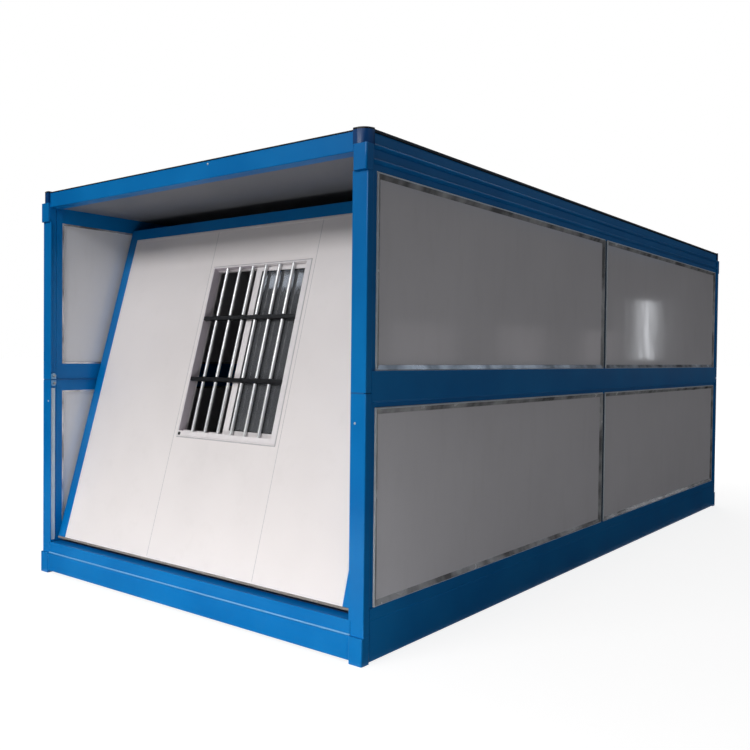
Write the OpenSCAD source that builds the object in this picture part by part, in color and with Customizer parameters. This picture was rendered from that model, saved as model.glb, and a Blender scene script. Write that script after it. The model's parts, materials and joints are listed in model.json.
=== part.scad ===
// Foldable container house, raised, with its window wall half way up.
// X runs across the house, Y along it with the window end at -Y, and Z is up.
// The origin is on the ground, below the middle of the house.
// The long walls are two framed halves, one above the other, that meet at the fold line.
// The window wall hangs on floor hinges and lies down inwards.

/* [House] */
// Width over the corner blocks
house_w = 2710; // [2600:10:2900]
// Length over the corner blocks
house_l = 5580; // [5000:20:6000]
// Height from the ground to the top of the corner blocks
house_h = 2480; // [2440:5:2560]

/* [Corners] */
// Width of a corner post, across the house
post_w = 80; // [65:1:90]
// Depth of a corner post, along the house
post_d = 45; // [40:1:60]
// Radius on the edges of posts and beams
tube_r = 5; // [2:0.5:8]
// How far a corner block stands out past its post, at the ends
block_out_end = 14; // [12:1:25]
// How far a corner block stands out past its post, at the sides
block_out_side = 2; // [1:1:15]
// Height of a base corner block
base_block_h = 130; // [100:5:150]
// Height of a roof corner block
roof_block_h = 195; // [180:1:210]
// Radius on the upright edges of a corner block
block_r = 8; // [3:1:12]
// Height of the rounded cap on top of a roof corner block
cap_h = 75; // [50:1:100]
// Radius of the cap's outer corner, seen from above
cap_r = 58; // [30:1:60]

/* [Base frame] */
// Gap between the ground and the end beams of the base
base_lift = 15; // [8:1:25]
// Gap between the ground and the side beams of the base
base_side_lift = 6; // [3:1:25]
// Height of the floor above the ground
floor_z = 200; // [180:1:220]
// Thickness of an end beam
beam_t = 80; // [60:1:90]
// Height of the ledge along the end beams
ledge_z = 126; // [90:1:150]
// How far the beam below the ledge stands out
ledge_out = 10; // [4:1:15]
// Thickness of the floor board
floor_t = 18; // [12:1:25]
// Height of a floor joist
joist_h = 100; // [60:5:120]
// Width of a floor joist
joist_w = 50; // [40:5:80]
// Number of floor joists
joist_count = 9; // [5:1:12]

/* [Roof frame] */
// How far the roof beams stay below the corner blocks' tops
roof_drop = 8; // [4:1:15]
// Height of the roof beams at the ends
roof_end_h = 97; // [80:1:110]
// Height of the roof beams at the sides
roof_side_h = 150; // [135:1:160]
// Radius of the two rounded ribs along a side roof beam
rib_r = 12; // [8:1:12]
// Height of the upper rib above the lower one
rib_step = 66; // [50:1:90]
// Thickness of the ceiling panel
ceiling_t = 50; // [40:1:55]
// How far the ceiling stays above the end beams' lower edges
ceiling_lift = 5; // [2:1:10]
// Height of the folds in the roof sheet
roof_fold_h = 18; // [12:1:22]
// Thickness of the roof sheet
roof_sheet_t = 2; // [1:0.5:3]
// Distance from one roof fold to the next
roof_fold_pitch = 250; // [200:10:400]

/* [Long walls] */
// Height of the fold line above the ground
fold_z = 1260; // [1200:5:1320]
// Gap between the two halves of a long wall
fold_gap = 4; // [2:1:8]
// Height of a lower half's bottom rail
bottom_rail_h = 55; // [40:1:70]
// Height of a lower half's top rail
lower_rail_h = 70; // [60:1:90]
// Height of an upper half's bottom rail
upper_rail_h = 102; // [80:1:120]
// How far the recessed rails lie behind the posts' outer faces
rail_in = 12; // [10:1:16]
// Width of the recessed strip between a post and a panel
edge_w = 42; // [20:1:60]
// Width of the upright between two panels
mullion_w = 50; // [40:1:80]
// Thickness of a wall panel
panel_t = 50; // [40:1:55]
// Width of the trim around a panel
trim_w = 27; // [20:1:35]
// How far the trim stands out from the recessed rails
trim_out = 6; // [3:1:8]
// Width of the trim on a panel's inner face
inner_trim_w = 12; // [8:1:20]
// How far the strip over the fold reaches below the fold line
strip_drop = 41; // [25:1:55]
// Reach of the lip along a post's inner edge
post_lip = 10; // [6:1:12]
// Thickness of the lip
post_lip_t = 4; // [3:0.5:5]
// Width of the rubber seal along a post
seal_w = 30; // [20:1:34]
// Thickness of the seal
seal_t = 4; // [3:0.5:6]
// Width of the hinge plate inside a post at the fold
plate_w = 36; // [24:1:38]
// Height of the hinge plate inside a post at the fold
plate_h = 84; // [60:2:110]

/* [End walls] */
// Thickness of an end wall
wall_t = 50; // [46:1:55]
// Gap between an end wall and the posts
wall_gap = 13; // [8:1:20]
// Gap between an upright end wall and the roof beam
wall_top_gap = 12; // [8:1:25]
// Distance from the corner blocks' end faces to an upright end wall
wall_in = 65; // [55:1:75]
// Width of an end wall's side members
stile_w = 85; // [60:1:100]
// Height of an end wall's top member
top_rail_h = 80; // [60:1:100]
// Height of an end wall's bottom member
bottom_h = 12; // [8:1:20]
// Seam between two sheets
seam = 2; // [1:0.5:4]
// Lean of the window wall, from upright
wall_lean_deg = 15.5; // [5:0.5:30]

/* [Window] */
// Width of the window frame
window_w = 825; // [700:5:950]
// Distance of the window's middle from the wall's middle
window_off = 112.5; // [60:2.5:160]
// Width of the wall sheet beside the window
window_side = 30; // [15:1:60]
// Height of the window frame
window_h = 1080; // [900:10:1150]
// Height of the window frame's lower edge above the wall's lower edge
window_sill = 745; // [700:5:800]
// Width of the window frame's right and lower members
window_rim = 36; // [28:1:44]
// Width of the window frame's left and upper members
window_lip = 8; // [6:1:14]
// How far the window frame stands out from the wall
frame_out = 4; // [1:1:8]
// How far the window frame stands in past the wall's inner face
frame_in = 11; // [8:1:12]
// Width of a sash's members
sash_rim = 30; // [22:1:35]
// Width of the sash member where the two sashes meet
meeting_w = 47; // [30:1:60]
// Thickness of a sash
sash_t = 16; // [12:1:17]
// Gap between the two sashes
sash_gap = 2; // [1:0.5:4]
// Thickness of a pane
pane_t = 5; // [4:1:6]
// Radius of a grille bar
bar_r = 10; // [6:0.5:10]
// Number of grille bars
bar_count = 6; // [5:1:8]
// Side of a grille rail
rail_s = 24; // [21:1:26]
// How far the grille rails lie behind the window frame's outer face
grille_in = 3; // [1:1:6]
// Height of the lower grille rail above the wall's lower edge
grille_rail_low = 1105; // [1000:5:1200]
// Height of the upper grille rail above the wall's lower edge
grille_rail_high = 1490; // [1400:5:1600]

/* [Rear door] */
// Width of the doorway
door_w = 900; // [800:10:1000]
// Height of the sheet over the doorway
door_over = 78; // [40:2:200]
// Width of the door frame's members
door_rim = 40; // [30:1:50]
// Thickness of the door leaf
door_t = 40; // [35:1:45]
// Height of the door handle above the floor
handle_z = 1050; // [950:10:1150]
// Width of the handle's back plate
handle_w = 40; // [30:1:50]
// Height of the handle's back plate
handle_h = 180; // [120:5:220]
// Thickness of the handle's back plate
handle_t = 6; // [4:1:8]
// Reach of the lever from its stem
lever_l = 120; // [90:5:140]
// Height of the lever
lever_h = 18; // [12:1:24]
// Thickness of the lever
lever_t = 10; // [6:1:14]
// Length of the lever's stem
stem_l = 34; // [25:1:40]

/* [Floor hinges] */
// Height of a hinge's axis above the floor
hinge_up = 11; // [9:1:16]
// Radius of a hinge's barrel
barrel_r = 6; // [4:0.5:7]
// Radius of a hinge's pin
pin_r = 3; // [2:0.5:3.5]
// Room between a pin and the barrel that turns on it
pin_room = 0.3; // [0.2:0.05:0.5]
// Length of a hinge
hinge_l = 150; // [100:5:200]
// Distance from the middle of the wall to an outer hinge
hinge_x = 950; // [700:10:1100]
// Room between parts that move past each other
clear = 5; // [5:0.5:8]
// Thickness of a hinge's leaves
leaf_t = 4; // [3:0.5:5]
// Reach of a hinge's leaves from its axis
leaf_l = 54; // [40:1:70]

/* [Hidden] */

$fn = 48;
blue = [0.02, 0.38, 0.66];
deep_blue = [0.02, 0.25, 0.50];
panel_gray = [0.62, 0.62, 0.63];
panel_white = [0.90, 0.89, 0.88];
steel = [0.75, 0.75, 0.76];
dark = [0.18, 0.18, 0.19];

// Half sizes of the house, and the faces of its posts
half_w = house_w / 2;
half_l = house_l / 2;
post_x1 = half_w - block_out_side;
post_x0 = post_x1 - post_w;
post_y1 = half_l - block_out_end;
post_y0 = post_y1 - post_d;

// Beams
beam_y0 = post_y1 - beam_t;
roof_top = house_h - roof_drop;
roof_end_z = roof_top - roof_end_h;
roof_side_z = roof_top - roof_side_h;
roof_block_z = house_h - roof_block_h;
ceiling_z = roof_end_z + ceiling_lift;

// Long walls, from the floor to the roof blocks
lower_panel_z0 = floor_z + bottom_rail_h;
lower_frame_z1 = fold_z - fold_gap / 2;
lower_panel_z1 = lower_frame_z1 - lower_rail_h;
upper_frame_z0 = fold_z + fold_gap / 2;
upper_panel_z0 = upper_frame_z0 + upper_rail_h;
upper_panel_z1 = roof_block_z;
rail_x1 = post_x1 - rail_in;
panel_x1 = rail_x1 - trim_out;
panel_y1 = post_y0 - edge_w;
strip_z0 = fold_z - strip_drop;

// End walls, measured from the hinge axis: t runs along Y and s up the upright wall
hinge_off = barrel_r + clear;
wall_drop = hinge_up - clear;
axis_y = half_l - wall_in - wall_t - hinge_off;
axis_z = floor_z + hinge_up;
wall_w = 2 * (post_x0 - wall_gap);
wall_s0 = -wall_drop;
wall_s1 = roof_end_z - wall_top_gap - axis_z;
sheet_s0 = wall_s0 + bottom_h;
sheet_s1 = wall_s1 - top_rail_h;
sheet_x0 = -wall_w / 2 + stile_w;
sheet_w = window_w + 2 * window_side;
seam_x1 = window_off - sheet_w / 2;
seam_x2 = window_off + sheet_w / 2;
door_s1 = sheet_s1 - door_over;

// Window frame and its opening
window_x0 = window_off - window_w / 2;
window_x1 = window_off + window_w / 2;
window_s0 = wall_s0 + window_sill;
window_s1 = window_s0 + window_h;
window_y0 = -hinge_off - wall_t - frame_out;
window_y1 = -hinge_off + frame_in;
open_x = [window_x0 + window_lip, window_x1 - window_rim];
open_s = [window_s0 + window_rim, window_s1 - window_lip];

// Grille, inside the opening
grille_y = window_y0 + grille_in + rail_s / 2;
grille_rail_s = [wall_s0 + grille_rail_low, wall_s0 + grille_rail_high];

// Sashes: the sliding one is pushed open behind the fixed one, so both are on the right
sash_w = (open_x[1] - open_x[0]) / 2 + 0.75 * meeting_w;
sash_x = [open_x[1] - sash_w, open_x[1]];
pane_x = [sash_x[0] + meeting_w, sash_x[1] - sash_rim];
pane_s = [open_s[0] + sash_rim, open_s[1] - sash_rim];
track_y = (window_y1 + grille_y + rail_s / 2) / 2;
sash_y = [[track_y - sash_gap / 2 - sash_t, track_y - sash_gap / 2],
    [track_y + sash_gap / 2, track_y + sash_gap / 2 + sash_t]];

// Hinge knuckles
knuckle_l = hinge_l * 0.3;
knuckle_gap = 1;

// Part that is repeated on both sides of the house's middle, across or along it
module both_x() {
    children();
    mirror([1, 0, 0]) children();
}

module both_y() {
    children();
    mirror([0, 1, 0]) children();
}

// Box between two corners
module box(low, high) {
    translate(low) cube(high - low);
}

// Outline with round corners, from the origin
module round_rect(w, d, r) {
    translate([r, 0]) square([w - 2 * r, d]);
    translate([0, r]) square([w, d - 2 * r]);
    for (x = [r, w - r], y = [r, d - r]) translate([x, y]) circle(r);
}

// Outline in X and Z, carried along Y between two places
module along_y(y0, y1) {
    translate([0, y1, 0]) rotate([90, 0, 0]) linear_extrude(y1 - y0) children();
}

// Outline in Y and Z, carried along X between two places
module along_x(x0, x1) {
    translate([x0, 0, 0]) rotate([90, 0, 90]) linear_extrude(x1 - x0) children();
}

// Outline of a corner post, at +X and +Y
module post_outline() {
    translate([post_x0, post_y0]) round_rect(post_w, post_d, tube_r);
}

// ---- Base frame ----

// End beam with a ledge, at +Y
module base_end_beam() {
    color(blue) along_x(-post_x0, post_x0) polygon([
        [beam_y0, base_lift], [post_y1 + ledge_out, base_lift], [post_y1 + ledge_out, ledge_z],
        [post_y1, ledge_z + ledge_out / 2], [post_y1, floor_z], [beam_y0, floor_z]]);
}

// Side beam, at +X
module base_side_beam() {
    color(deep_blue) along_y(-post_y0, post_y0) translate([post_x0, base_side_lift])
        round_rect(post_w, floor_z - base_side_lift, tube_r);
}

module base_front_beam() mirror([0, 1, 0]) base_end_beam();
module base_rear_beam() base_end_beam();
module base_left_beam() mirror([1, 0, 0]) base_side_beam();
module base_right_beam() base_side_beam();

// Block under a post, with the post's stub on it up to the floor
module base_corner_blocks() {
    color(blue) both_x() both_y() {
        translate([post_x0, post_y0, 0])
            linear_extrude(base_block_h) round_rect(half_w - post_x0, half_l - post_y0, block_r);
        translate([0, 0, base_block_h]) linear_extrude(floor_z - base_block_h) post_outline();
    }
}

module floor_joists() {
    joist_z1 = floor_z - floor_t;
    step = 2 * beam_y0 / (joist_count + 1);
    color(steel) for (i = [1 : joist_count]) {
        y = -beam_y0 + i * step;
        box([-post_x0, y - joist_w / 2, joist_z1 - joist_h], [post_x0, y + joist_w / 2, joist_z1]);
    }
}

module floor_board() {
    color(panel_gray) box([-post_x0, -beam_y0, floor_z - floor_t], [post_x0, beam_y0, floor_z]);
}

// ---- Roof frame ----

// End beam, at +Y
module roof_end_beam() {
    color(blue) along_x(-post_x0, post_x0) translate([beam_y0, roof_end_z])
        round_rect(beam_t, roof_end_h, tube_r);
}

// Side beam with two rounded ribs, at +X
module roof_side_beam() {
    rib_z0 = roof_side_z + rib_r;
    rib_z1 = rib_z0 + rib_step;
    color(deep_blue) along_y(-post_y0, post_y0) {
        translate([post_x0, roof_side_z]) square([rail_x1 - post_x0, roof_side_h]);
        for (z = [rib_z0, rib_z1]) translate([rail_x1, z]) circle(rib_r);
    }
}

module roof_front_beam() mirror([0, 1, 0]) roof_end_beam();
module roof_rear_beam() roof_end_beam();
module roof_left_beam() mirror([1, 0, 0]) roof_side_beam();
module roof_right_beam() roof_side_beam();

// Block over a post. Its cap is round at the house's corner.
module roof_corner_blocks() {
    block_w = half_w - post_x0;
    block_d = half_l - post_y0;
    color(blue) both_x() both_y() translate([post_x0, post_y0, roof_block_z]) {
        linear_extrude(roof_block_h - cap_h) round_rect(block_w, block_d, block_r);
        translate([0, 0, roof_block_h - cap_h]) linear_extrude(cap_h) {
            square([block_w - cap_r, block_d]);
            square([block_w, block_d - cap_r]);
            intersection() {
                translate([block_w - cap_r, block_d - cap_r]) circle(cap_r);
                square([block_w, block_d]);
            }
        }
    }
}

module ceiling_panel() {
    color(panel_gray)
        box([-post_x0, -beam_y0, ceiling_z], [post_x0, beam_y0, ceiling_z + ceiling_t]);
}

// Purlins between the ceiling and the roof sheet
module roof_purlins() {
    purlin_z1 = roof_top - roof_fold_h;
    step = 2 * beam_y0 / (joist_count + 1);
    color(steel) for (i = [1 : joist_count]) {
        y = -beam_y0 + i * step;
        box([-post_x0, y - joist_w / 2, ceiling_z + ceiling_t], [post_x0, y + joist_w / 2, purlin_z1]);
    }
}

// Sheet with low trapezoid folds that run across the house
module roof_sheet() {
    fold_count = floor(2 * beam_y0 / roof_fold_pitch);
    start = -(fold_count - 1) * roof_fold_pitch / 2;
    foot = 2 * roof_fold_h;
    folds = [for (i = [0 : fold_count - 1]) each let(y = start + i * roof_fold_pitch)
        [[y - foot, roof_sheet_t], [y - foot / 2, roof_fold_h], [y + foot / 2, roof_fold_h],
            [y + foot, roof_sheet_t]]];
    color(steel) along_x(-post_x0, post_x0) translate([0, roof_top - roof_fold_h])
        polygon(concat([[beam_y0, 0], [-beam_y0, 0], [-beam_y0, roof_sheet_t]], folds,
            [[beam_y0, roof_sheet_t]]));
}

// ---- Long walls ----

// Frame of one half of a long wall, at +X: two posts with a lip along the inner edge, the
// recessed strips beside them, two rails and the upright between the panels. It takes the
// heights of the posts, of the rails' outer edges and of the panels, and how far each rail's
// face is set back.
module half_frame(post_z, rail_z, panel_z, set_back) {
    both_y() {
        translate([0, 0, post_z[0]]) linear_extrude(post_z[1] - post_z[0]) {
            post_outline();
            translate([post_x0 - post_lip, post_y1 - post_lip_t]) square([post_lip + tube_r, post_lip_t]);
        }
        box([post_x0, panel_y1, panel_z[0]], [rail_x1, post_y0, panel_z[1]]);
    }
    box([post_x0, -post_y0, rail_z[0]], [post_x1 - set_back[0], post_y0, panel_z[0]]);
    box([post_x0, -post_y0, panel_z[1]], [post_x1 - set_back[1], post_y0, rail_z[1]]);
    box([post_x0, -mullion_w / 2, panel_z[0]], [rail_x1, mullion_w / 2, panel_z[1]]);
}

module lower_frame() {
    color(deep_blue) half_frame([floor_z, lower_frame_z1], [floor_z, lower_frame_z1],
        [lower_panel_z0, lower_panel_z1], [0, rail_in]);
}

module upper_frame() {
    color(deep_blue) half_frame([upper_frame_z0, roof_block_z], [upper_frame_z0, roof_side_z],
        [upper_panel_z0, upper_panel_z1], [rail_in, rail_in]);
}

module left_lower_frame() mirror([1, 0, 0]) lower_frame();
module left_upper_frame() mirror([1, 0, 0]) upper_frame();
module right_lower_frame() lower_frame();
module right_upper_frame() upper_frame();

// Pair of panels between two heights, at +X
module wall_panels(z0, z1) {
    color(panel_gray) both_y()
        box([panel_x1 - panel_t, mullion_w / 2, z0], [panel_x1, panel_y1, z1]);
}

module left_lower_panels() mirror([1, 0, 0]) wall_panels(lower_panel_z0, lower_panel_z1);
module left_upper_panels() mirror([1, 0, 0]) wall_panels(upper_panel_z0, upper_panel_z1);
module right_lower_panels() wall_panels(lower_panel_z0, lower_panel_z1);
module right_upper_panels() wall_panels(upper_panel_z0, upper_panel_z1);

// Mitred trim around a panel whose lower corner is at the origin, lying in X and Y.
// Its section falls from the outer edge to the panel.
module panel_trim(w, h) {
    lip = trim_w / 5;
    section = [[0, 0], [trim_w, 0], [trim_w, trim_out / 3], [lip, 2 * trim_out], [0, 2 * trim_out]];
    module side(l) {
        intersection() {
            linear_extrude(2 * trim_out)
                polygon([[0, 0], [l, 0], [l - trim_w, trim_w], [trim_w, trim_w]]);
            rotate([90, 0, 90]) linear_extrude(l) polygon(section);
        }
    }
    side(w);
    translate([w, h, 0]) rotate(180) side(w);
    translate([w, 0, 0]) rotate(90) side(h);
    translate([0, h, 0]) rotate(-90) side(h);
}

// Trims of the four panels of one long wall, at +X: mitred outside, flat inside
module wall_trims() {
    inner_x1 = panel_x1 - panel_t;
    w = panel_y1 - mullion_w / 2;
    color(steel) both_y() for (z = [[lower_panel_z0, lower_panel_z1], [upper_panel_z0, upper_panel_z1]]) {
        translate([panel_x1, mullion_w / 2, z[0]]) rotate([90, 0, 90]) panel_trim(w, z[1] - z[0]);
        translate([post_x0, mullion_w / 2, z[0]]) rotate([90, 0, 90])
            linear_extrude(inner_x1 - post_x0) difference() {
                square([w, z[1] - z[0]]);
                translate([inner_trim_w, inner_trim_w])
                    square([w - 2 * inner_trim_w, z[1] - z[0] - 2 * inner_trim_w]);
            }
    }
}

module left_trims() mirror([1, 0, 0]) wall_trims();
module right_trims() wall_trims();

// Strip that sheds rain over the fold line, fixed to the upper half's rail
module fold_strips() {
    color(deep_blue) both_x()
        box([rail_x1, -post_y0, strip_z0], [post_x1, post_y0, upper_panel_z0]);
}

// Flat rubber seals on the inner faces of the posts, below the hinge plates
module post_seals() {
    y1 = post_y1 - tube_r;
    z1 = fold_z - plate_h / 2 - wall_gap;
    color(panel_white) both_x() both_y()
        box([post_x0 - seal_t, y1 - seal_w, floor_z + wall_gap], [post_x0, y1, z1]);
}

// Oval hinge plate on the inner face of a post, over the fold
module post_hinge_plates() {
    color(steel) both_x() both_y()
        translate([post_x0 - wall_gap / 2, post_y1 - tube_r - plate_w, fold_z - plate_h / 2])
            rotate([90, 0, 90]) linear_extrude(wall_gap / 2) round_rect(plate_w, plate_h, plate_w / 2 - 1);
}

// ---- End walls ----

// Place of an end wall at -Y: children are drawn with the hinge axis as their origin
module at_hinge(lean) {
    translate([0, -axis_y, axis_z]) rotate([-lean, 0, 0]) children();
}

// Box of an end wall's full thickness: x and s limits
module wall_slab(x0, x1, s0, s1) {
    box([x0, -hinge_off - wall_t, s0], [x1, -hinge_off, s1]);
}

// Frame of an end wall
module end_wall_frame() {
    half = wall_w / 2;
    color(blue) {
        both_x() wall_slab(half - stile_w, half, wall_s0, wall_s1);
        wall_slab(stile_w - half, half - stile_w, sheet_s1, wall_s1);
        wall_slab(stile_w - half, half - stile_w, wall_s0, sheet_s0);
    }
}

module window_wall_frame() at_hinge(wall_lean_deg) end_wall_frame();

module window_wall_left_panel() at_hinge(wall_lean_deg)
    color(panel_white) wall_slab(sheet_x0, seam_x1 - seam / 2, sheet_s0, sheet_s1);

module window_wall_middle_panel() at_hinge(wall_lean_deg) color(panel_white) difference() {
    wall_slab(seam_x1 + seam / 2, seam_x2 - seam / 2, sheet_s0, sheet_s1);
    box([window_x0, -hinge_off - 2 * wall_t, window_s0], [window_x1, wall_t, window_s1]);
}

module window_wall_right_panel() at_hinge(wall_lean_deg)
    color(panel_white) wall_slab(seam_x2 + seam / 2, -sheet_x0, sheet_s0, sheet_s1);

// Upright frame: limits of its x, s and y, then the x and s limits of its opening
module framed(x, s, y, hole_x, hole_s) {
    difference() {
        box([x[0], y[0], s[0]], [x[1], y[1], s[1]]);
        box([hole_x[0], y[0] - clear, hole_s[0]], [hole_x[1], y[1] + clear, hole_s[1]]);
    }
}

module window_frame() at_hinge(wall_lean_deg) color(panel_white)
    framed([window_x0, window_x1], [window_s0, window_s1], [window_y0, window_y1], open_x, open_s);

module window_sashes() at_hinge(wall_lean_deg) color(panel_white)
    for (y = sash_y) framed(sash_x, open_s, y, pane_x, pane_s);

module window_panes() at_hinge(wall_lean_deg) color([0.5, 0.55, 0.58, 0.4])
    for (y = sash_y) {
        middle = (y[0] + y[1]) / 2;
        box([pane_x[0], middle - pane_t / 2, pane_s[0]], [pane_x[1], middle + pane_t / 2, pane_s[1]]);
    }

// Rails across the window's opening
module grille_rails() at_hinge(wall_lean_deg) color(dark)
    for (s = grille_rail_s)
        box([open_x[0], grille_y - rail_s / 2, s - rail_s / 2],
            [open_x[1], grille_y + rail_s / 2, s + rail_s / 2]);

// Upright bars, each in three lengths between and beyond the rails
module grille_bars() at_hinge(wall_lean_deg) color(steel) {
    pitch = (open_x[1] - open_x[0]) / (bar_count + 1);
    ends = [open_s[0], grille_rail_s[0] - rail_s / 2, grille_rail_s[0] + rail_s / 2,
        grille_rail_s[1] - rail_s / 2, grille_rail_s[1] + rail_s / 2, open_s[1]];
    for (i = [1 : bar_count], k = [0, 2, 4])
        translate([open_x[0] + i * pitch, grille_y, ends[k]])
            cylinder(h = ends[k + 1] - ends[k], r = bar_r);
}

// ---- Rear wall, upright, with a door ----

module at_rear() {
    mirror([0, 1, 0]) at_hinge(0) children();
}

module rear_wall_frame() at_rear() end_wall_frame();

module rear_wall_panels() at_rear() color(panel_white) {
    both_x() wall_slab(door_w / 2 + seam / 2, -sheet_x0, sheet_s0, sheet_s1);
    wall_slab(-door_w / 2 + seam / 2, door_w / 2 - seam / 2, door_s1, sheet_s1);
}

module rear_door_frame() at_rear() color(steel) {
    x1 = door_w / 2 - seam / 2;
    both_x() wall_slab(x1 - door_rim, x1, sheet_s0, door_s1);
    wall_slab(door_rim - x1, x1 - door_rim, door_s1 - door_rim, door_s1);
}

module rear_door() at_rear() color(panel_gray) {
    x1 = door_w / 2 - seam / 2 - door_rim - seam;
    box([-x1, -hinge_off - door_t, sheet_s0], [x1, -hinge_off, door_s1 - door_rim - seam]);
}

// Back plate, stem and lever
module rear_door_handle() at_rear() color(steel) {
    x = door_w / 2 - door_rim - handle_w * 1.5;
    y0 = -hinge_off - door_t;
    y1 = y0 - handle_t;
    y2 = y1 - stem_l;
    s = handle_z - hinge_up;
    lever_s = s + handle_h / 4;
    box([x - handle_w / 2, y1, s - handle_h / 2], [x + handle_w / 2, y0, s + handle_h / 2]);
    translate([x, y1, lever_s]) rotate([90, 0, 0]) cylinder(h = stem_l, r = lever_h / 2);
    box([x - lever_l, y2 - lever_t, lever_s - lever_h / 2], [x + lever_h / 2, y2, lever_s + lever_h / 2]);
}

// ---- Floor hinges of both end walls ----

// Fixed half: plate on the floor, two knuckles and the pin, seen from the hinge axis
module fixed_hinge() {
    for (x = [-hinge_l / 2, hinge_l / 2 - knuckle_l]) {
        translate([x, 0, 0]) rotate([0, 90, 0]) cylinder(h = knuckle_l, r = barrel_r);
        box([x, -barrel_r / 2, -hinge_up], [x + knuckle_l, barrel_r / 2, 0]);
    }
    translate([-hinge_l / 2, 0, 0]) rotate([0, 90, 0]) cylinder(h = hinge_l, r = pin_r);
    box([-hinge_l / 2, -barrel_r / 2, -hinge_up], [hinge_l / 2, leaf_l, leaf_t / 2 - hinge_up]);
}

// Moving half: leaf on the wall's inner face and one bored knuckle
module moving_hinge() {
    x1 = hinge_l / 2 - knuckle_l - knuckle_gap;
    difference() {
        union() {
            translate([-x1, 0, 0]) rotate([0, 90, 0]) cylinder(h = 2 * x1, r = barrel_r);
            box([-x1, -hinge_off, -barrel_r / 2], [x1, 0, barrel_r]);
        }
        translate([-hinge_l, 0, 0]) rotate([0, 90, 0]) cylinder(h = 2 * hinge_l, r = pin_r + pin_room);
    }
    box([-x1, -hinge_off, barrel_r], [x1, leaf_t - hinge_off, leaf_l]);
}

module hinge_row() {
    for (x = [-hinge_x, 0, hinge_x]) translate([x, 0, 0]) children();
}

module floor_hinges() color(steel) {
    at_hinge(0) hinge_row() fixed_hinge();
    at_rear() hinge_row() {
        fixed_hinge();
        moving_hinge();
    }
}

module window_wall_hinges() color(steel) at_hinge(wall_lean_deg) hinge_row() moving_hinge();

base_front_beam();
base_rear_beam();
base_left_beam();
base_right_beam();
base_corner_blocks();
floor_joists();
floor_board();
roof_front_beam();
roof_rear_beam();
roof_left_beam();
roof_right_beam();
roof_corner_blocks();
roof_purlins();
roof_sheet();
ceiling_panel();
left_lower_frame();
left_upper_frame();
right_lower_frame();
right_upper_frame();
left_lower_panels();
left_upper_panels();
right_lower_panels();
right_upper_panels();
left_trims();
right_trims();
fold_strips();
post_seals();
post_hinge_plates();
rear_wall_frame();
rear_wall_panels();
rear_door_frame();
rear_door();
rear_door_handle();
floor_hinges();
window_wall_frame();
window_wall_left_panel();
window_wall_middle_panel();
window_wall_right_panel();
window_frame();
window_sashes();
window_panes();
grille_rails();
grille_bars();
window_wall_hinges();
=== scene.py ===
"""Looks of a foldable container house: enamelled steel frame, coated foam panels, barred window wall."""

import json
import math

import bmesh
import bpy
import numpy as np
from mathutils import Matrix, Vector


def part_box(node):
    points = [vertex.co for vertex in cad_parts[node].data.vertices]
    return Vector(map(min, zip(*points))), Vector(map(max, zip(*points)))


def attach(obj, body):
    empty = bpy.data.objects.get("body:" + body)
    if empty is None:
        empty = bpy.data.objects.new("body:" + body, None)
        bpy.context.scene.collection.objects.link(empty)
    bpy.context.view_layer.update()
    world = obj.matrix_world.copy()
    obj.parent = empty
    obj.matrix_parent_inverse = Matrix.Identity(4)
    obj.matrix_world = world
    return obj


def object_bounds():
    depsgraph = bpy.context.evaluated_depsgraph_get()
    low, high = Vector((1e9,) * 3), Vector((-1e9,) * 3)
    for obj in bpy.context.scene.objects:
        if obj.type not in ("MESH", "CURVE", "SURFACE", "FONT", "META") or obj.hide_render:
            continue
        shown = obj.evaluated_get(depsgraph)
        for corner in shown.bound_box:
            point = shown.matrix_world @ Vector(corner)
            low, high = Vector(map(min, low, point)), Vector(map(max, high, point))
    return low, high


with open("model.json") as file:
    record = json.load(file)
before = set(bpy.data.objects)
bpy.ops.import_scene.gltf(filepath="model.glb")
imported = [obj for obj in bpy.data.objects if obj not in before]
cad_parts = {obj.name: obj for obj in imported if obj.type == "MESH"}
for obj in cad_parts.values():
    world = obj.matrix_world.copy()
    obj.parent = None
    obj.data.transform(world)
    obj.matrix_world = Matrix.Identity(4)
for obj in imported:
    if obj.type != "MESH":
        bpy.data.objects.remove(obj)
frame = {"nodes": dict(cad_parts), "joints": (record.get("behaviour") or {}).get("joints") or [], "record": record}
nodes = frame["nodes"]
cad_low, cad_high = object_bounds()

MM = 0.001


# ---------------------------------------------------------------- finishes

def linear(code):
    """sRGB hex to linear RGBA: c / 12.92 up to 0.04045, else ((c + 0.055) / 1.055) ** 2.4."""
    c = np.array([int(code[i:i + 2], 16) for i in (1, 3, 5)]) / 255
    return (*np.where(c <= 0.04045, c / 12.92, ((c + 0.055) / 1.055) ** 2.4).tolist(), 1.0)


def per_mm(size):
    """Texture scale whose cells are that many millimetres across, on coordinates in metres."""
    return 1.0 / (size * MM)


def add(tree, kind, inputs=None, **settings):
    """One shader node with its settings. An input, by name or number, takes a value, a socket or a node.

    By number, a MapRange takes its value (0), the range that it comes from (1, 2) and the one that it goes to
    (3, 4), and a colour Mix takes its share (0) and the two colours that it goes between (6, 7).
    """
    made = tree.nodes.new("ShaderNode" + kind)
    for name, value in settings.items():
        setattr(made, name, value)
    for name, value in (inputs or {}).items():
        if isinstance(value, bpy.types.Node):
            value = value.outputs[0]
        if isinstance(value, bpy.types.NodeSocket):
            tree.links.new(value, made.inputs[name])
        else:
            made.inputs[name].default_value = value
    return made


def bare(block):
    """The node tree of a material or world, emptied."""
    block.use_nodes = True
    block.node_tree.nodes.clear()
    return block.node_tree


def finish(name, **plain):
    """New material, its tree, its Principled shader with the plain values set, and Object coordinates."""
    made = bpy.data.materials.new(name)
    tree = bare(made)
    shader = add(tree, "BsdfPrincipled", {key.replace("_", " "): value for key, value in plain.items()})
    add(tree, "OutputMaterial", {"Surface": shader})
    return made, tree, shader, add(tree, "TexCoord").outputs["Object"]


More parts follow.
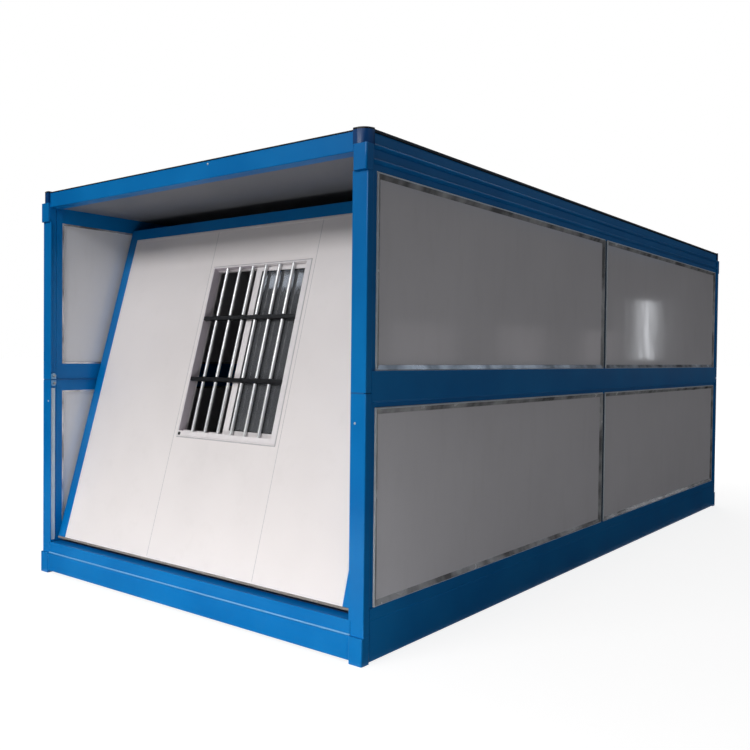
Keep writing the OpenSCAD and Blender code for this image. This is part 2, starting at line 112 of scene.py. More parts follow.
def coated(made, shader, colour, gloss, relief=None):
    """The material, once its colour mix, its roughness and its bump are joined to its Principled shader."""
    sockets = {"Base Color": colour.outputs[2], "Roughness": gloss.outputs[0]}
    if relief:
        sockets["Normal"] = relief.outputs[0]
    for name, socket in sockets.items():
        made.node_tree.links.new(socket, shader.inputs[name])
    return made


def blue_enamel():
    """Blue enamel sprayed on rolled steel: an even deep blue with soft highlights. The film varies slowly,
    orange peel of some 5 mm breaks the highlights, and a little road dust lies on the lowest 0.3 m."""
    made, tree, shader, place = finish("blue_enamel", IOR=1.45, Specular_IOR_Level=0.28)
    film = add(tree, "TexNoise", {"Vector": place, "Scale": per_mm(420), "Detail": 3.0})
    share = add(tree, "MapRange", {0: film, 1: 0.3, 2: 0.7})
    paint = add(tree, "Mix", {0: share, 6: linear("#006AB0"), 7: linear("#0477BD")}, data_type="RGBA")
    drops = add(tree, "Mapping", {"Vector": place, "Scale": (1.0, 1.0, 0.25)})
    streak = add(tree, "TexNoise", {"Vector": drops, "Scale": per_mm(60), "Detail": 4.0})
    share = add(tree, "MapRange", {0: streak, 1: 0.55, 2: 0.8, 4: 0.10})
    paint = add(tree, "Mix", {0: share, 6: paint.outputs[2], 7: linear("#1F78B6")}, data_type="RGBA")
    height = add(tree, "SeparateXYZ", {0: place}).outputs["Z"]
    low = add(tree, "MapRange", {0: height, 1: 0.0, 2: 0.3, 3: 0.04, 4: 0.0})
    grime = add(tree, "TexNoise", {"Vector": place, "Scale": per_mm(25), "Detail": 5.0, "Roughness": 0.7})
    grime = add(tree, "MapRange", {0: grime, 1: 0.45, 2: 0.75})
    share = add(tree, "Math", {0: low, 1: grime}, operation="MULTIPLY")
    paint = add(tree, "Mix", {0: share, 6: paint.outputs[2], 7: linear("#6E7C85")}, data_type="RGBA")
    gloss = add(tree, "MapRange", {0: film, 1: 0.25, 2: 0.75, 3: 0.28, 4: 0.36})
    wave = add(tree, "TexNoise", {"Vector": place, "Scale": per_mm(240), "Detail": 1.0})
    wave = add(tree, "Bump", {"Height": wave, "Distance": 1.5 * MM, "Strength": 0.2})
    peel = add(tree, "TexNoise", {"Vector": place, "Scale": per_mm(5), "Detail": 2.0})
    peel = add(tree, "Bump", {"Height": peel, "Distance": 0.05 * MM, "Strength": 0.6, "Normal": wave})
    return coated(made, shader, paint, gloss, peel)


def sealed_rim_enamel():
    """The same enamel on the roof's corner blocks, whose caps, the top 75 mm, get a darker blue that is
    painted shade, with a bead of black sealant some 9 mm deep round their rims."""
    made = blue_enamel()
    made.name = "blue_enamel_sealed_rim"
    tree = made.node_tree
    shader = next(n for n in tree.nodes if n.type == "BSDF_PRINCIPLED")
    paint = shader.inputs["Base Color"].links[0].from_socket
    place = add(tree, "TexCoord").outputs["Object"]
    height = add(tree, "SeparateXYZ", {0: place}).outputs["Z"]
    cap_depth, bead_depth, rim = 0.075, 0.009, 0.0004
    # Painted shade: the caps are a darker blue for the shade that falls on them.
    cap_painted_shade = add(tree, "Math", {0: height, 1: cad_high.z - cap_depth}, operation="GREATER_THAN")
    paint = add(tree, "Mix", {0: cap_painted_shade, 6: paint, 7: linear("#0A3F75")}, data_type="RGBA")
    above = add(tree, "Math", {0: height, 1: cad_high.z - bead_depth}, operation="GREATER_THAN")
    below = add(tree, "Math", {0: height, 1: cad_high.z - rim}, operation="LESS_THAN")
    bead = add(tree, "Math", {0: above, 1: below}, operation="MULTIPLY")
    both = add(tree, "Mix", {0: bead, 6: paint.outputs[2], 7: linear("#0B0D10")}, data_type="RGBA")
    tree.links.new(both.outputs[2], shader.inputs["Base Color"])
    return made


def gray_coil_coat():
    """Coil-coated steel skin of the long walls' foam panels: glossy, pale gray outside and near white
    inside, with slow waves where the foam pulls the thin sheet, faint drip streaks and orange peel."""
    made, tree, shader, place = finish("gray_coil_coat", IOR=1.5)
    tone = add(tree, "TexNoise", {"Vector": place, "Scale": per_mm(700), "Detail": 2.0})
    share = add(tree, "MapRange", {0: tone, 1: 0.3, 2: 0.7})
    outside = add(tree, "Mix", {0: share, 6: linear("#E1DFE4"), 7: linear("#E7E5EA")}, data_type="RGBA")
    across = add(tree, "SeparateXYZ", {0: place}).outputs["X"]
    across = add(tree, "Math", {0: across}, operation="ABSOLUTE")
    in_the_foam = 1.305                   # distance off the middle, between the two skins of a panel
    inner = add(tree, "MapRange", {0: across, 1: in_the_foam, 2: in_the_foam + 0.001, 3: 1.0, 4: 0.0})
    colour = add(tree, "Mix", {0: inner, 6: outside.outputs[2], 7: linear("#E4E4E7")}, data_type="RGBA")
    drops = add(tree, "Mapping", {"Vector": place, "Scale": (1.0, 1.0, 0.25)})
    smear = add(tree, "TexNoise", {"Vector": drops, "Scale": per_mm(95), "Detail": 5.0, "Roughness": 0.65})
    share = add(tree, "MapRange", {0: smear, 1: 0.5, 2: 0.8, 4: 0.10})
    colour = add(tree, "Mix", {0: share, 6: colour.outputs[2], 7: linear("#BAB6B4")}, data_type="RGBA")
    gloss = add(tree, "MapRange", {0: smear, 1: 0.3, 2: 0.8, 3: 0.05, 4: 0.13})
    wave = add(tree, "TexNoise", {"Vector": place, "Scale": per_mm(330), "Detail": 1.5})
    wave = add(tree, "Bump", {"Height": wave, "Distance": 1.6 * MM, "Strength": 0.4})
    peel = add(tree, "TexNoise", {"Vector": place, "Scale": per_mm(4), "Detail": 1.0})
    peel = add(tree, "Bump", {"Height": peel, "Distance": 0.02 * MM, "Strength": 0.4, "Normal": wave})
    return coated(made, shader, colour, gloss, peel)


def white_coil_coat():
    """Coil-coated white skin of the end walls: even, low gloss, hardly waved, with faint smudges."""
    made, tree, shader, place = finish("white_coil_coat", IOR=1.5)
    tone = add(tree, "TexNoise", {"Vector": place, "Scale": per_mm(600), "Detail": 2.0})
    share = add(tree, "MapRange", {0: tone, 1: 0.3, 2: 0.7})
    colour = add(tree, "Mix", {0: share, 6: linear("#E5DFDE"), 7: linear("#EBE5E4")}, data_type="RGBA")
    smudge = add(tree, "TexNoise", {"Vector": place, "Scale": per_mm(130), "Detail": 5.0, "Roughness": 0.6})
    share = add(tree, "MapRange", {0: smudge, 1: 0.55, 2: 0.85, 4: 0.10})
    colour = add(tree, "Mix", {0: share, 6: colour.outputs[2], 7: linear("#B9B4AE")}, data_type="RGBA")
    gloss = add(tree, "MapRange", {0: smudge, 1: 0.3, 2: 0.8, 3: 0.30, 4: 0.42})
    wave = add(tree, "TexNoise", {"Vector": place, "Scale": per_mm(420), "Detail": 1.0})
    wave = add(tree, "Bump", {"Height": wave, "Distance": 0.8 * MM, "Strength": 0.3})
    grain = add(tree, "TexNoise", {"Vector": place, "Scale": per_mm(4), "Detail": 1.0})
    grain = add(tree, "Bump", {"Height": grain, "Distance": 0.02 * MM, "Strength": 0.4, "Normal": wave})
    return coated(made, shader, colour, gloss, grain)


def ceiling_coil_coat():
    """Pale gray coil-coated skin under the roof: matt, with slow waves between the purlins."""
    made, tree, shader, place = finish("ceiling_coil_coat", IOR=1.5)
    tone = add(tree, "TexNoise", {"Vector": place, "Scale": per_mm(500), "Detail": 3.0})
    share = add(tree, "MapRange", {0: tone, 1: 0.3, 2: 0.7})
    colour = add(tree, "Mix", {0: share, 6: linear("#707176"), 7: linear("#7A7B7F")}, data_type="RGBA")
    gloss = add(tree, "MapRange", {0: tone, 1: 0.3, 2: 0.7, 3: 0.42, 4: 0.52})
    wave = add(tree, "TexNoise", {"Vector": place, "Scale": per_mm(380), "Detail": 1.0})
    wave = add(tree, "Bump", {"Height": wave, "Distance": 0.8 * MM, "Strength": 0.4})
    return coated(made, shader, colour, gloss, wave)


def fibre_cement():
    """Sealed fibre-cement floor board: gray brown, mottled by its fibres at about 20 mm, satin in patches."""
    made, tree, shader, place = finish("fibre_cement_board", IOR=1.5)
    mottle = add(tree, "TexNoise", {"Vector": place, "Scale": per_mm(22), "Detail": 6.0, "Roughness": 0.7})
    cloud = add(tree, "TexNoise", {"Vector": place, "Scale": per_mm(380), "Detail": 2.0})
    share = add(tree, "MapRange", {0: mottle, 1: 0.35, 2: 0.65})
    colour = add(tree, "Mix", {0: share, 6: linear("#8C8479"), 7: linear("#A39B8F")}, data_type="RGBA")
    share = add(tree, "MapRange", {0: cloud, 1: 0.35, 2: 0.7, 4: 0.35})
    colour = add(tree, "Mix", {0: share, 6: colour.outputs[2], 7: linear("#77706A")}, data_type="RGBA")
    gloss = add(tree, "MapRange", {0: cloud, 1: 0.3, 2: 0.7, 3: 0.62, 4: 0.42})
    fibre = add(tree, "Bump", {"Height": mottle, "Distance": 0.2 * MM, "Strength": 0.5})
    return coated(made, shader, colour, gloss, fibre)


def zinc_plate():
    """Electroplated zinc on pressed steel: pale gray metal with a soft, cloudy sheen and dull patches."""
    made, tree, shader, place = finish("zinc_plate", Metallic=1.0)
    cloud = add(tree, "TexNoise", {"Vector": place, "Scale": per_mm(35), "Detail": 4.0})
    share = add(tree, "MapRange", {0: cloud, 1: 0.3, 2: 0.7})
    colour = add(tree, "Mix", {0: share, 6: linear("#B9BCBF"), 7: linear("#96999C")}, data_type="RGBA")
    gloss = add(tree, "MapRange", {0: cloud, 1: 0.3, 2: 0.7, 3: 0.34, 4: 0.52})
    grain = add(tree, "TexNoise", {"Vector": place, "Scale": per_mm(3), "Detail": 2.0})
    grain = add(tree, "Bump", {"Height": grain, "Distance": 0.04 * MM, "Strength": 0.5})
    return coated(made, shader, colour, gloss, grain)


def hot_dip_zinc():
    """Hot-dip zinc on the roof sheet: crystals (spangle) of about 22 mm that differ in tone and gloss, with
    a white bloom where water stands."""
    made, tree, shader, place = finish("hot_dip_zinc", Metallic=1.0)
    crystal = add(tree, "TexVoronoi", {"Vector": place, "Scale": per_mm(22)}).outputs["Color"]
    value = add(tree, "SeparateColor", {0: crystal})
    colour = add(tree, "Mix", {0: value, 6: linear("#C2C5C8"), 7: linear("#B0B4B8")}, data_type="RGBA")
    bloom = add(tree, "TexNoise", {"Vector": place, "Scale": per_mm(260), "Detail": 5.0, "Roughness": 0.65})
    share = add(tree, "MapRange", {0: bloom, 1: 0.3, 2: 0.8, 4: 0.5})
    colour = add(tree, "Mix", {0: share, 6: colour.outputs[2], 7: linear("#B9BABA")}, data_type="RGBA")
    gloss = add(tree, "MapRange", {0: value, 3: 0.3, 4: 0.46})
    gloss = add(tree, "Math", {0: gloss, 1: share}, operation="ADD")
    gloss = add(tree, "MapRange", {0: gloss, 1: 0.3, 2: 1.0, 3: 0.46, 4: 0.66})
    edge = add(tree, "Bump", {"Height": value, "Distance": 0.05 * MM, "Strength": 0.3})
    return coated(made, shader, colour, gloss, edge)


def bright_aluminium():
    """Extruded aluminium of the panel trims, half mirror and half gray: its colour runs between dull gray
    and near white in stretches, painted highlights and painted shade for uneven glints, with faint die marks."""
    made, tree, shader, place = finish("lacquered_aluminium", Metallic=0.45)
    line = add(tree, "TexNoise", {"Vector": place, "Scale": per_mm(9), "Detail": 4.0, "Roughness": 0.7})
    cloud = add(tree, "TexNoise", {"Vector": place, "Scale": per_mm(180), "Detail": 3.0})
    # Painted highlight and shade: bright and dull stretches of colour stand for glints along the trims.
    share = add(tree, "MapRange", {0: cloud, 1: 0.38, 2: 0.62})
    colour = add(tree, "Mix", {0: share, 6: linear("#8E8E90"), 7: linear("#EBEBED")}, data_type="RGBA")
    gloss = add(tree, "MapRange", {0: cloud, 1: 0.3, 2: 0.7, 3: 0.16, 4: 0.28})
    line = add(tree, "Bump", {"Height": line, "Distance": 0.04 * MM, "Strength": 0.4})
    return coated(made, shader, colour, gloss, line)


def stainless_tube():
    """Brushed stainless tube of the window bars: pale and satin, half of it a soft mirror, with brushing
    marks drawn at 2 mm."""
    made, tree, shader, place = finish("brushed_stainless", Metallic=0.5)
    mark = add(tree, "TexNoise", {"Vector": place, "Scale": per_mm(2), "Detail": 3.0, "Roughness": 0.6})
    cloud = add(tree, "TexNoise", {"Vector": place, "Scale": per_mm(60), "Detail": 3.0})
    share = add(tree, "MapRange", {0: cloud, 1: 0.35, 2: 0.7})
    colour = add(tree, "Mix", {0: share, 6: linear("#F0F0F0"), 7: linear("#DADBDC")}, data_type="RGBA")
    gloss = add(tree, "MapRange", {0: cloud, 1: 0.3, 2: 0.7, 3: 0.30, 4: 0.42})
    mark = add(tree, "Bump", {"Height": mark, "Distance": 0.02 * MM, "Strength": 0.4})
    return coated(made, shader, colour, gloss, mark)


def extruded_rubber(name, code, worn):
    """Extruded rubber seal: matt, finely pitted, with a paler bloom of dust in patches."""
    made, tree, shader, place = finish(name, IOR=1.5)
    pits = add(tree, "TexNoise", {"Vector": place, "Scale": per_mm(3), "Detail": 3.0})
    bloom = add(tree, "TexNoise", {"Vector": place, "Scale": per_mm(70), "Detail": 4.0, "Roughness": 0.6})
    share = add(tree, "MapRange", {0: bloom, 1: 0.4, 2: 0.75, 4: 0.5})
    colour = add(tree, "Mix", {0: share, 6: linear(code), 7: linear(worn)}, data_type="RGBA")
    gloss = add(tree, "MapRange", {0: pits, 1: 0.3, 2: 0.7, 3: 0.55, 4: 0.75})
    pits = add(tree, "Bump", {"Height": pits, "Distance": 0.08 * MM, "Strength": 0.6})
    return coated(made, shader, colour, gloss, pits)


def white_upvc():
    """White uPVC window profile, extruded: smooth with a low sheen, and a film of dust in patches."""
    made, tree, shader, place = finish("white_upvc", IOR=1.46)
    dust = add(tree, "TexNoise", {"Vector": place, "Scale": per_mm(45), "Detail": 4.0, "Roughness": 0.6})
    share = add(tree, "MapRange", {0: dust, 1: 0.45, 2: 0.8, 4: 0.25})
    colour = add(tree, "Mix", {0: share, 6: linear("#E6E1E2"), 7: linear("#BDB8B9")}, data_type="RGBA")
    gloss = add(tree, "MapRange", {0: dust, 1: 0.3, 2: 0.7, 3: 0.28, 4: 0.42})
    fine = add(tree, "TexNoise", {"Vector": place, "Scale": per_mm(6), "Detail": 2.0})
    fine = add(tree, "Bump", {"Height": fine, "Distance": 0.03 * MM, "Strength": 0.4})
    return coated(made, shader, colour, gloss, fine)


def dusty_glass():
    """Gray float glass, unwashed: it lets about half of the light through, and its dust scatters the rest."""
    made, tree, shader, place = finish("dusty_float_glass", IOR=1.52, Transmission_Weight=0.55)
    film = add(tree, "TexNoise", {"Vector": place, "Scale": per_mm(120), "Detail": 4.0, "Roughness": 0.6})
    share = add(tree, "MapRange", {0: film, 1: 0.3, 2: 0.7})
    colour = add(tree, "Mix", {0: share, 6: linear("#6B6D71"), 7: linear("#7B7D81")}, data_type="RGBA")
    gloss = add(tree, "MapRange", {0: film, 1: 0.4, 2: 0.8, 3: 0.03, 4: 0.10})
    return coated(made, shader, colour, gloss)


def black_enamel():
    """Black enamel brushed on square tube: semi-gloss, with brush drag along the tube at about 5 mm."""
    made, tree, shader, place = finish("black_enamel", IOR=1.5)
    drag = add(tree, "Mapping", {"Vector": place, "Scale": (0.15, 1.0, 1.0)})
    drag = add(tree, "TexNoise", {"Vector": drag, "Scale": per_mm(5), "Detail": 3.0})
    share = add(tree, "MapRange", {0: drag, 1: 0.4, 2: 0.75, 4: 0.5})
    colour = add(tree, "Mix", {0: share, 6: linear("#101113"), 7: linear("#232427")}, data_type="RGBA")
    gloss = add(tree, "MapRange", {0: drag, 1: 0.3, 2: 0.7, 3: 0.3, 4: 0.5})
    drag = add(tree, "Bump", {"Height": drag, "Distance": 0.06 * MM, "Strength": 0.5})
    return coated(made, shader, colour, gloss, drag)


def powder_coat(name, code, rubbed):
    """Powder coat baked on sheet steel: even and satin, slightly cloudy, with its grain drawn at 3 mm."""
    made, tree, shader, place = finish(name, IOR=1.5)
    cloud = add(tree, "TexNoise", {"Vector": place, "Scale": per_mm(240), "Detail": 3.0})
    share = add(tree, "MapRange", {0: cloud, 1: 0.35, 2: 0.7})
    colour = add(tree, "Mix", {0: share, 6: linear(code), 7: linear(rubbed)}, data_type="RGBA")
    gloss = add(tree, "MapRange", {0: cloud, 1: 0.3, 2: 0.7, 3: 0.34, 4: 0.44})
    grain = add(tree, "TexNoise", {"Vector": place, "Scale": per_mm(3), "Detail": 2.0})
    grain = add(tree, "Bump", {"Height": grain, "Distance": 0.04 * MM, "Strength": 0.5})
    return coated(made, shader, colour, gloss, grain)


ENAMEL = blue_enamel()
ZINC = zinc_plate()
ALUMINIUM = bright_aluminium()
STAINLESS = stainless_tube()
BLACK = black_enamel()
WALL_SKIN = white_coil_coat()
CEILING_SKIN = ceiling_coil_coat()
UPVC = white_upvc()
DOOR_COAT = powder_coat("gray_powder_coat", "#D0D0D0", "#CACACB")
# The hinge plates' pale blue: blue paint with a painted reflection of the sky on it.
PLATE_COAT = powder_coat("pale_blue_powder_coat", "#8FC0E6", "#7FB0D6")
PALE_RUBBER = extruded_rubber("pale_rubber", "#B9CBDA", "#D3DCE3")
BLACK_RUBBER = extruded_rubber("black_rubber", "#0E0F11", "#2E2F31")
BLUE_RUBBER = extruded_rubber("blue_rubber", "#0A5A96", "#1C689F")
BROWN_RUBBER = extruded_rubber("brown_rubber", "#7A7470", "#908A84")
SILICONE = extruded_rubber("white_silicone", "#DCE2E6", "#C2C6C8")
GRAY_SILICONE = extruded_rubber("gray_silicone", "#C0BDBF", "#B2AFB1")
# Pale blue of the ledge beads: a painted highlight along the ledge.
PALE_BLUE_HIGHLIGHT_RUBBER = extruded_rubber("pale_blue_rubber", "#6FA9D4", "#5B98C8")
# Mauve gray of the window's jamb and head lining: painted shade of those reveals.
MAUVE_SHADE_LINING = extruded_rubber("gray_pvc_lining", "#D2C8D0", "#C4BAC2")
# Dark slate of the mullion strips: painted shade of the recess between the panels.
SLATE_SHADE_RUBBER = extruded_rubber("slate_rubber", "#3C4854", "#505B66")

FINISHES = {
    "frame_paint": ENAMEL, "side_panel": gray_coil_coat(), "wall_panel": WALL_SKIN, "ceiling": CEILING_SKIN,
    "floor": fibre_cement(), "zinc_steel": ZINC, "roof": hot_dip_zinc(), "trim": ALUMINIUM,
    "rubber": PALE_RUBBER, "window_white": UPVC, "glass": dusty_glass(), "bright_steel": STAINLESS,
    "dark_steel": BLACK, "door_paint": DOOR_COAT, "handle": STAINLESS,
}

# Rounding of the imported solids' edges in millimetres, by finish: rolled steel is rounder than folded sheet
ROUNDING = {"frame_paint": 2.0, "side_panel": 0.8, "wall_panel": 1.0, "trim": 0.6, "window_white": 1.5,
            "dark_steel": 2.0, "door_paint": 1.2, "handle": 1.5, "zinc_steel": 1.0, "rubber": 1.2}


def dress_solids():
    """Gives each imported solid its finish, and rounds its sharp edges by a weld and a bevel modifier."""
    for part in frame["record"]["subparts"]:
        solid, slot = nodes[part["node"]], part["material_slot"]
        solid.data.materials.clear()
        solid.data.materials.append(FINISHES[slot])
        if slot in ROUNDING:
            solid.modifiers.new("weld", "WELD").merge_threshold = 0.02 * MM
            bevel = solid.modifiers.new("rounded_edges", "BEVEL")
            bevel.width = ROUNDING[slot] * MM
            bevel.segments = 2
            bevel.angle_limit = math.radians(40)
            bevel.harden_normals = True
    for name, coat in (("roof_corner_blocks", sealed_rim_enamel()), ("post_hinge_plates", PLATE_COAT)):
        nodes[name].data.materials.clear()
        nodes[name].data.materials.append(coat)


dress_solids()


# ---------------------------------------------------------------- surfaces

def quads(rows, columns, ring_rows=False, ring_columns=False):
    """Faces of a grid of points: one quad per step of row and column, joined round where it is a ring."""
    i, j = np.meshgrid(np.arange(rows if ring_rows else rows - 1),
                       np.arange(columns if ring_columns else columns - 1), indexing="ij")
    n, m = (i + 1) % rows, (j + 1) % columns
    corners = [i * columns + j, i * columns + m, n * columns + m, n * columns + j]
    return np.stack(corners, -1).reshape(-1, 4).tolist()


def bar(profile, start, end, across, up):
    """Closed profile carried from start to end: point = end of the path + u * across + v * up. A fan of
    triangles from the profile's middle closes each end."""
    profile, across, up = np.asarray(profile, float), np.asarray(across, float), np.asarray(up, float)
    outline = profile[:, :1] * across + profile[:, 1:] * up
    points = np.concatenate([outline + np.asarray(start, float), outline + np.asarray(end, float)])
    n = len(profile)
    k = np.arange(n)
    middle = np.stack([points[:n].mean(0), points[n:].mean(0)])
    fans = np.concatenate([np.stack([k, (k + 1) % n, np.full(n, 2 * n)], -1),
                           np.stack([n + (k + 1) % n, n + k, np.full(n, 2 * n + 1)], -1)])
    return np.concatenate([points, middle]), quads(2, n, False, True) + fans.tolist()


def mitred_ring(profile, low, high):
    """Rectangular ring in its own (a, b, depth) space: at each corner the profile's offset u moves out
    along both a and b, so that the sides meet in a mitre, and its offset v is the depth."""
    profile = np.asarray(profile, float)
    corner = np.array([[-1, -1], [1, -1], [1, 1], [-1, 1]], float)
    edge = np.where(corner < 0, np.asarray(low, float), np.asarray(high, float))
    flat = edge[:, None, :] + corner[:, None, :] * profile[None, :, :1]
    depth = np.broadcast_to(profile[None, :, 1:], (4, len(profile), 1))
    return np.concatenate([flat, depth], -1).reshape(-1, 3), quads(4, len(profile), True, True)


def turned(profile, along, places, sides=12):
    """Solid of revolution, (radius * cos t, radius * sin t, height), whose height runs along a direction,
    repeated at each of a list of places."""
    profile, places = np.asarray(profile, float), np.asarray(places, float)
    turn = np.array(Vector(along).to_track_quat("Z", "Y").to_matrix())
    angle = np.linspace(0, 2 * math.pi, sides, endpoint=False)
    points = np.stack([profile[:, :1] * np.cos(angle), profile[:, :1] * np.sin(angle),
                       np.repeat(profile[:, 1:], sides, 1)], -1).reshape(-1, 3) @ turn.T
    every = (places[:, None, :] + points[None]).reshape(-1, 3)
    faces = np.array(quads(len(profile), sides, False, True))
    return every, (faces[None] + np.arange(len(places))[:, None, None] * len(points)).reshape(-1, 4).tolist()


def put(name, data):
    """A new object of a mesh, lamp or camera, in the scene."""
    made = bpy.data.objects.new(name, data)
    bpy.context.scene.collection.objects.link(made)
    return made


def piece(name, shapes, coat, body, smooth_deg=35):
    """One mesh of (points, faces) shapes, merged, with its faces turned outwards, that rides on a body."""
    points, faces, count = [], [], 0
    for shape, face_list in shapes:
        points.append(shape)
        faces += [[k + count for k in face] for face in face_list]
        count += len(shape)
    mesh = bpy.data.meshes.new(name)
    mesh.from_pydata(np.concatenate(points).tolist(), [], faces)
    loose = bmesh.new()
    loose.from_mesh(mesh)
    bmesh.ops.remove_doubles(loose, verts=loose.verts, dist=0.01 * MM)
    bmesh.ops.recalc_face_normals(loose, faces=loose.faces)
    loose.to_mesh(mesh)
    loose.free()
    mesh.shade_smooth()
    mesh.set_sharp_from_angle(angle=math.radians(smooth_deg))
    mesh.materials.append(coat)
    made = put(name, mesh)
    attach(made, body)


def dome(width, height, base=0.0, steps=5):
    """Half-oval section: u = width / 2 * cos t, v = base + height * sin t, closed by its flat underside."""
    t = np.linspace(0, math.pi, steps)
    return np.stack([width / 2 * np.cos(t), base + height * np.sin(t)], -1)


def rounded(width, height, radius):
    """Rectangle whose four corners are cut, each between two points."""
    u, v, r = width / 2, height / 2, radius
    return np.array([[u - r, -v], [u, -v + r], [u, v - r], [u - r, v], [-u + r, v], [-u, v - r], [-u, -v + r],
                     [-u + r, -v]])


# Fastener heads: radius and height from the face, in metres
PAN_HEAD = [[0.00001, 0.0030], [0.0030, 0.0028], [0.0052, 0.0019], [0.0060, 0.0006], [0.0060, -0.0010]]
HEX_HEAD = [[0.00001, 0.0050], [0.0056, 0.0050], [0.0062, 0.0044], [0.0062, 0.0], [0.0062, -0.0010]]
WASHER = [[0.00001, 0.0014], [0.0085, 0.0014], [0.0095, 0.0004], [0.0095, -0.0010]]


# ---------------------------------------------------------------- long walls and roof edges

post_low, post_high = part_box("right_lower_frame")
roof_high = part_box("roof_right_beam")[1]
strip_low, strip_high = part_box("fold_strips")
beam_end = roof_high.y                          # side beams run between the corner blocks
rail_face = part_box("right_trims")[1].x - 0.006  # the trims stand 6 mm proud of the rails
panel_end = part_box("right_upper_panels")[1].y
BANDS = [[corner.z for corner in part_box(name)] for name in ("right_lower_panels", "right_upper_panels")]
MULLION = 0.025                                 # half of the upright between two panels
LEDGE = 0.126                                   # height of the ledge along each end beam
SLOPE = 0.005                                   # rise from the ledge to the foot of the beam's upper face


def roof_edge_seals():
    """Black rubber over the joint of roof sheet and beams: a rolled lip on each beam's outer edge."""
    lip = np.array([[-0.020, 0.0], [-0.020, 0.0055], [-0.015, 0.0073], [0.002, 0.0073], [0.0060, 0.0055],
                    [0.0075, 0.0015], [0.0070, -0.0080], [0.0050, -0.0100], [0.0008, -0.0100], [0.0008, 0.0]])
    slimmer = lip * (0.6, 0.35)
    top, end = roof_high.z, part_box("roof_rear_beam")[1]
    shapes = []
    for way in (-1, 1):
        shapes.append(bar(lip, (way * rail_face, -beam_end, top), (way * rail_face, beam_end, top),
                          (way, 0, 0), (0, 0, 1)))
        shapes.append(bar(slimmer, (-end.x, way * end.y, top), (end.x, way * end.y, top),
                          (0, way, 0), (0, 0, 1)))
    piece("roof_edge_seals", shapes, BLACK_RUBBER, "house")


def fold_gaskets():
    """Blue rubber in the gap between the halves of each long wall, swelling a little out of it."""
    low, high = post_high.z - 0.0002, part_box("right_upper_frame")[0].z + 0.0002
    level, middle, end = (low + high) / 2, (post_low.x + rail_face) / 2, post_high.y + 0.0004
    section = rounded(rail_face - post_low.x + 0.001, high - low + 0.003, 0.0015)
    shapes = [bar(section, (side * middle, -end, level), (side * middle, end, level), (1, 0, 0), (0, 0, 1))
              for side in (-1, 1)]
    piece("fold_gaskets", shapes, BLUE_RUBBER, "house")


def fold_strip_beads():
    """Rolled lower edge of each fold strip: a bead of 7 by 9 mm along it, with cut corners."""
    end, level, cut = beam_end - 0.012, strip_low.z + 0.001, 0.0022
    shapes = []
    for side in (-1, 1):
        x = side * (strip_high.x - cut)
        shapes.append(bar(rounded(3 * cut, 0.009, cut), (x, -end, level), (x, end, level),
                          (side, 0, 0), (0, 0, 1)))
    piece("fold_strip_beads", shapes, ENAMEL, "house")


def mullion_seals():
    """Slate-blue domed rubber strips on the panel uprights; their dark colour is painted shade for the recess."""
    shapes = [bar(dome(0.034, 0.004, -0.0005), (side * rail_face, 0, low + 0.004),
                  (side * rail_face, 0, high - 0.004), (0, 1, 0), (side, 0, 0))
              for side in (-1, 1) for low, high in BANDS]
    piece("mullion_seals", shapes, SLATE_SHADE_RUBBER, "house")


def trim_sealant():
    """Sealant in the corner of frame and trim round each panel: a small quarter-round, mitred."""
    bead = [[-0.0035, -0.001], [0.0050, -0.001], [0.0046, 0.0018], [0.0025, 0.0045], [-0.0005, 0.0064],
            [-0.0035, 0.0066]]
    shapes = []
    for side in (-1, 1):
        for end in (-1, 1):
            for low, high in BANDS:
                y0, y1 = sorted((end * MULLION, end * panel_end))
                points, faces = mitred_ring(bead, (y0, low), (y1, high))
                x = side * (rail_face + points[:, 2])
                shapes.append((np.stack([x, points[:, 0], points[:, 1]], -1), faces))
    piece("trim_sealant", shapes, SILICONE, "house")


def hinge_plate_bolts():
    """Two hexagon bolts with washers in each oval hinge plate at the fold."""
    low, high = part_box("post_hinge_plates")
    thickness, half_width, bolt_rise = 0.0065, 0.018, 0.024
    face = post_low.x - thickness
    middle_y, middle_z = high.y - half_width, (low.z + high.z) / 2
    shapes = []
    for side in (-1, 1):
        places = [(side * face, y, middle_z + rise)
                  for y in (-middle_y, middle_y) for rise in (-bolt_rise, bolt_rise)]
        shapes += [turned(HEX_HEAD, (-side, 0, 0), places, 6), turned(WASHER, (-side, 0, 0), places)]
    piece("hinge_plate_bolts", shapes, ZINC, "house", 25)


def ledge_beads():
    """Pale blue bead where the slope above each end beam's ledge meets the beam's upper face: a painted highlight.
    """
    bead = [[-0.001, -0.001], [-0.001, 0.0050], [0.0020, 0.0046], [0.0045, 0.0020], [0.0050, -0.001]]
    end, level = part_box("roof_rear_beam")[1], LEDGE + SLOPE
    shapes = [bar(bead, (-end.x, way * end.y, level), (end.x, way * end.y, level), (0, way, 0), (0, 0, 1))
              for way in (-1, 1)]
    piece("ledge_beads", shapes, PALE_BLUE_HIGHLIGHT_RUBBER, "house")


def corner_welds():
    """Weld beads where the end beams meet the corner blocks: half-rounds down each joint."""
    shapes = []
    roof_beam, base_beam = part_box("roof_front_beam"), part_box("base_front_beam")
    for low, high, face in ((roof_beam[0].z, roof_beam[1].z, -roof_beam[0].y),
                            (base_beam[0].z, LEDGE, -base_beam[0].y)):
        for side in (-1, 1):
            for end in (-1, 1):
                x, y = side * (post_low.x - 0.001), end * face
                shapes.append(bar(dome(0.007, 0.0026, -0.0005), (x, y, low + 0.003), (x, y, high - 0.003),
                                  (1, 0, 0), (0, end, 0)))
    piece("corner_welds", shapes, ENAMEL, "house")


